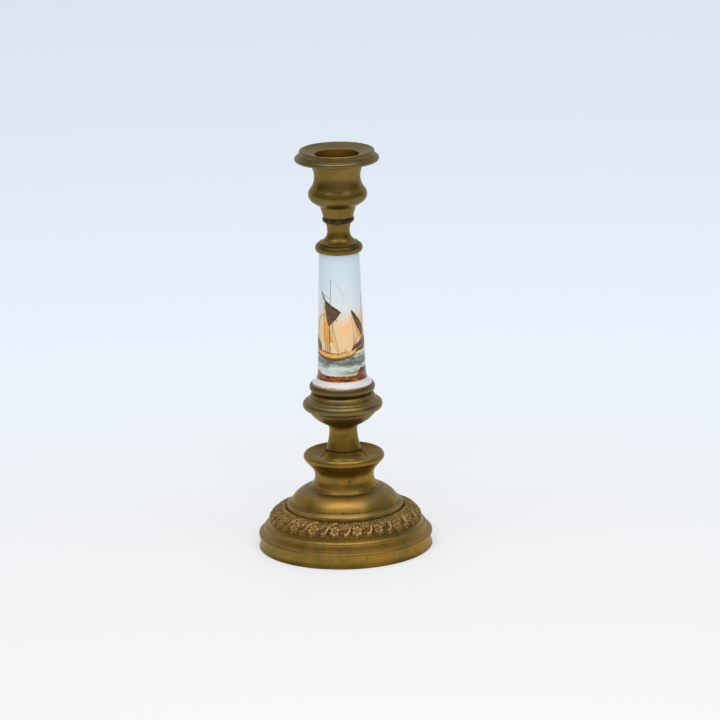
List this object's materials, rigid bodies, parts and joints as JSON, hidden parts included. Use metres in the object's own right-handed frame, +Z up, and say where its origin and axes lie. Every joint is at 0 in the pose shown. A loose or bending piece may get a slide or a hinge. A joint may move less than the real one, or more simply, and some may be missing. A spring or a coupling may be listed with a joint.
{
  "type": "candlestick",
  "caption": "Turned brass candlestick with a hollow cast foot, a painted porcelain column clamped by a hidden tie rod, and a lift-out drip nozzle in an urn-shaped candle cup.",
  "frame": {"origin": "centre of the foot's resting face", "axes": "+Z up along the turning axis; the painted front faces -Y"},
  "size_m": [0.0932, 0.0932, 0.2169],
  "materials": {
    "brass": "aged satin patina",
    "dark_brass": "dark patina",
    "porcelain": "gloss glaze, painted",
    "packing": "matt",
    "steel": "dull, dark"
  },
  "bodies": {
    "stand": {"foot": "brass", "lower_stem": "brass", "knop": "brass", "seat_ring": "brass", "lower_packing": "packing", "porcelain_column": "porcelain", "upper_packing": "packing", "upper_stem": "brass", "collar_ring": "dark_brass", "candle_cup": "brass", "tie_rod": "steel", "clamp_washer": "steel", "clamp_nut": "steel"},
    "nozzle": {"drip_nozzle": "brass"}
  },
  "joints": [
    {"name": "nozzle_lift", "type": "slide", "parent": "stand", "child": "nozzle", "axis": [0, 0, 1], "range_m": [0, 0.03]}
  ]
}
